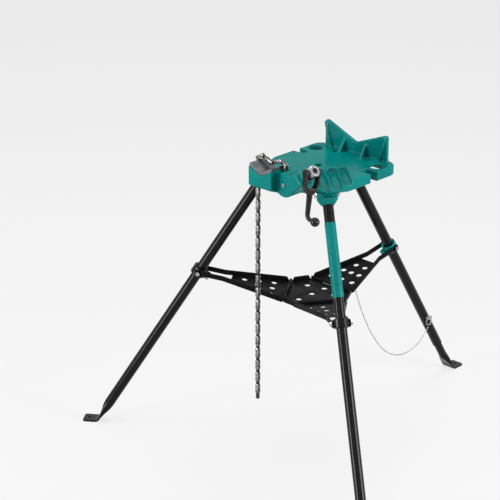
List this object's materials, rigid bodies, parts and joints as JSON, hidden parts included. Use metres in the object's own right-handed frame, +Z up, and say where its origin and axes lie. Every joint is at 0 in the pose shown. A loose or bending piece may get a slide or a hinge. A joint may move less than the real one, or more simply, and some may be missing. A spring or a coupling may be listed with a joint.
{
  "type": "tripod pipe vise stand",
  "caption": "Folding tripod stand with a chain pipe vise, pipe-bender casting, V pipe rest and hinged tool tray between splayed tube legs.",
  "frame": {"origin": "middle of the footprint, on the floor", "axes": "+Z up, -Y towards the nose of the vise, +X towards the crank"},
  "size_m": [1.1586, 1.1134, 0.9383],
  "materials": {
    "enamel": "gloss enamel",
    "tube": "gloss enamel",
    "tray": "satin powder coat",
    "oxide": "forged, dark oxide",
    "bright": "bright plated",
    "chain": "natural steel, light oil",
    "jaw": "hardened steel, grey"
  },
  "bodies": {
    "base": {"base_casting": "enamel", "jaw": "jaw", "chain_roller": "bright", "chain_anchor": "chain", "leg_pivot_pin_rear": "bright", "leg_pivot_pin_left": "bright", "leg_pivot_pin_near": "bright"},
    "draw_screw": {"draw_screw": "bright", "chain_draw_link": "chain"},
    "crank_nut": {"crank_nut": "bright"},
    "crank_handle": {"crank_handle": "oxide"},
    "chain_span": {"chain_span": "chain"},
    "leg_rear": {"leg_socket_rear": "enamel", "leg_rear_upper": "tube", "collar_rear": "enamel", "collar_bolt_rear": "bright"},
    "leg_rear_foot": {"leg_rear_lower": "tube"},
    "lock_pin": {"lock_pin": "bright"},
    "pin_ring": {"pin_ring": "bright"},
    "leg_left": {"leg_socket_left": "enamel", "leg_left": "tube", "collar_left": "enamel", "collar_bolt_left": "bright"},
    "leg_near": {"leg_socket_near": "enamel", "leg_near": "tube", "leg_band": "enamel", "collar_near": "enamel", "collar_bolt_near": "bright"},
    "tray_centre": {"tray_centre": "tray", "tray_hinge_rod_rear": "bright", "tray_hinge_rod_left": "bright", "tray_hinge_rod_near": "bright"},
    "chain_tail_1": {"chain_tail_1": "chain"},
    "chain_tail_2": {"chain_tail_2": "chain"},
    "chain_tail_3": {"chain_tail_3": "chain"},
    "chain_tail_4": {"chain_tail_4": "chain"},
    "chain_tail_5": {"chain_tail_5": "chain"},
    "wing_rear": {"tray_wing_rear": "tray", "wing_bolt_rear_a": "bright", "wing_bolt_rear_b": "bright", "lanyard": "bright"},
    "wing_left": {"tray_wing_left": "tray", "wing_bolt_left_a": "bright", "wing_bolt_left_b": "bright"},
    "wing_near": {"tray_wing_near": "tray", "wing_bolt_near_a": "bright", "wing_bolt_near_b": "bright"}
  },
  "joints": [
    {"name": "nut_spin", "type": "hinge", "parent": "base", "child": "crank_nut", "pos_m": [0.15, -0.32384, 0.91695], "axis": [0.766, 0, 0.6428], "range_deg": [-225, 0]},
    {"name": "screw_draw", "type": "slide", "parent": "base", "child": "draw_screw", "axis": [0.766, 0, 0.6428], "range_m": [0, 0.0025]},
    {"name": "crank_swing", "type": "hinge", "parent": "crank_nut", "child": "crank_handle", "pos_m": [0.15, -0.32384, 0.91695], "axis": [-0.1116, -0.9848, 0.133], "range_deg": [0, 110]},
    {"name": "span_lift", "type": "hinge", "parent": "base", "child": "chain_span", "pos_m": [0.05105, -0.32384, 0.91365], "axis": [0, 1, 0], "range_deg": [0, 45]},
    {"name": "tail_hang", "type": "hinge", "parent": "chain_span", "child": "chain_tail_1", "pos_m": [-0.0531, -0.32384, 0.89465], "axis": [0, 1, 0], "range_deg": [-32, 0]},
    {"name": "tail_swing_2", "type": "hinge", "parent": "chain_tail_1", "child": "chain_tail_2", "pos_m": [-0.0531, -0.32384, 0.74225], "axis": [0, 1, 0], "range_deg": [-12, 12]},
    {"name": "tail_swing_3", "type": "hinge", "parent": "chain_tail_2", "child": "chain_tail_3", "pos_m": [-0.0531, -0.32384, 0.58985], "axis": [0, 1, 0], "range_deg": [-12, 12]},
    {"name": "tail_swing_4", "type": "hinge", "parent": "chain_tail_3", "child": "chain_tail_4", "pos_m": [-0.0531, -0.32384, 0.43745], "axis": [0, 1, 0], "range_deg": [-12, 12]},
    {"name": "tail_swing_5", "type": "hinge", "parent": "chain_tail_4", "child": "chain_tail_5", "pos_m": [-0.0531, -0.32384, 0.3041], "axis": [0, 1, 0], "range_deg": [-12, 12]},
    {"name": "rear_fold", "type": "hinge", "parent": "base", "child": "leg_rear", "pos_m": [0, 0.00316, 0.82], "axis": [-1, 0, 0], "range_deg": [0, 31.9]},
    {"name": "left_fold", "type": "hinge", "parent": "base", "child": "leg_left", "pos_m": [-0.12041, -0.22816, 0.82], "axis": [0.5736, -0.8192, 0], "range_deg": [0, 31.9]},
    {"name": "near_fold", "type": "hinge", "parent": "base", "child": "leg_near", "pos_m": [0.12041, -0.22816, 0.82], "axis": [0.5736, 0.8192, 0], "range_deg": [0, 31.9]},
    {"name": "rear_leg_extend", "type": "slide", "parent": "leg_rear", "child": "leg_rear_foot", "axis": [0, 0.5284, -0.849], "range_m": [0, 0.1]},
    {"name": "lock_pin_pull", "type": "slide", "parent": "leg_rear", "child": "lock_pin", "axis": [1, 0, 0], "range_m": [0, 0.04]},
    {"name": "ring_swing", "type": "hinge", "parent": "lock_pin", "child": "pin_ring", "pos_m": [0.0217, 0.37227, 0.22699], "axis": [0, 1, 0], "range_deg": [-22, 0]},
    {"name": "tray_drop", "type": "slide", "parent": "base", "child": "tray_centre", "axis": [0, 0, -1], "range_m": [0, 0.2656]},
    {"name": "rear_wing_fold", "type": "hinge", "parent": "tray_centre", "child": "wing_rear", "pos_m": [0, -0.06584, 0.467], "axis": [-1, 0, 0], "range_deg": [-65.2, 0]},
    {"name": "left_wing_fold", "type": "hinge", "parent": "tray_centre", "child": "wing_left", "pos_m": [-0.06389, -0.18858, 0.467], "axis": [0.5736, -0.8192, 0], "range_deg": [-65.2, 0]},
    {"name": "near_wing_fold", "type": "hinge", "parent": "tray_centre", "child": "wing_near", "pos_m": [0.06389, -0.18858, 0.467], "axis": [0.5736, 0.8192, 0], "range_deg": [-65.2, 0]}
  ],
  "couplings": [
    {"joint": "screw_draw", "follows": "nut_spin", "m_per_rad": -0.000636},
    {"joint": "tail_hang", "follows": "span_lift", "ratio": -0.7},
    {"joint": "left_fold", "follows": "rear_fold", "ratio": 1},
    {"joint": "near_fold", "follows": "rear_fold", "ratio": 1},
    {"joint": "tray_drop", "follows": "rear_fold", "m_per_rad": 0.4763},
    {"joint": "rear_wing_fold", "follows": "rear_fold", "ratio": -2.0405},
    {"joint": "left_wing_fold", "follows": "rear_fold", "ratio": -2.0405},
    {"joint": "near_wing_fold", "follows": "rear_fold", "ratio": -2.0405}
  ]
}
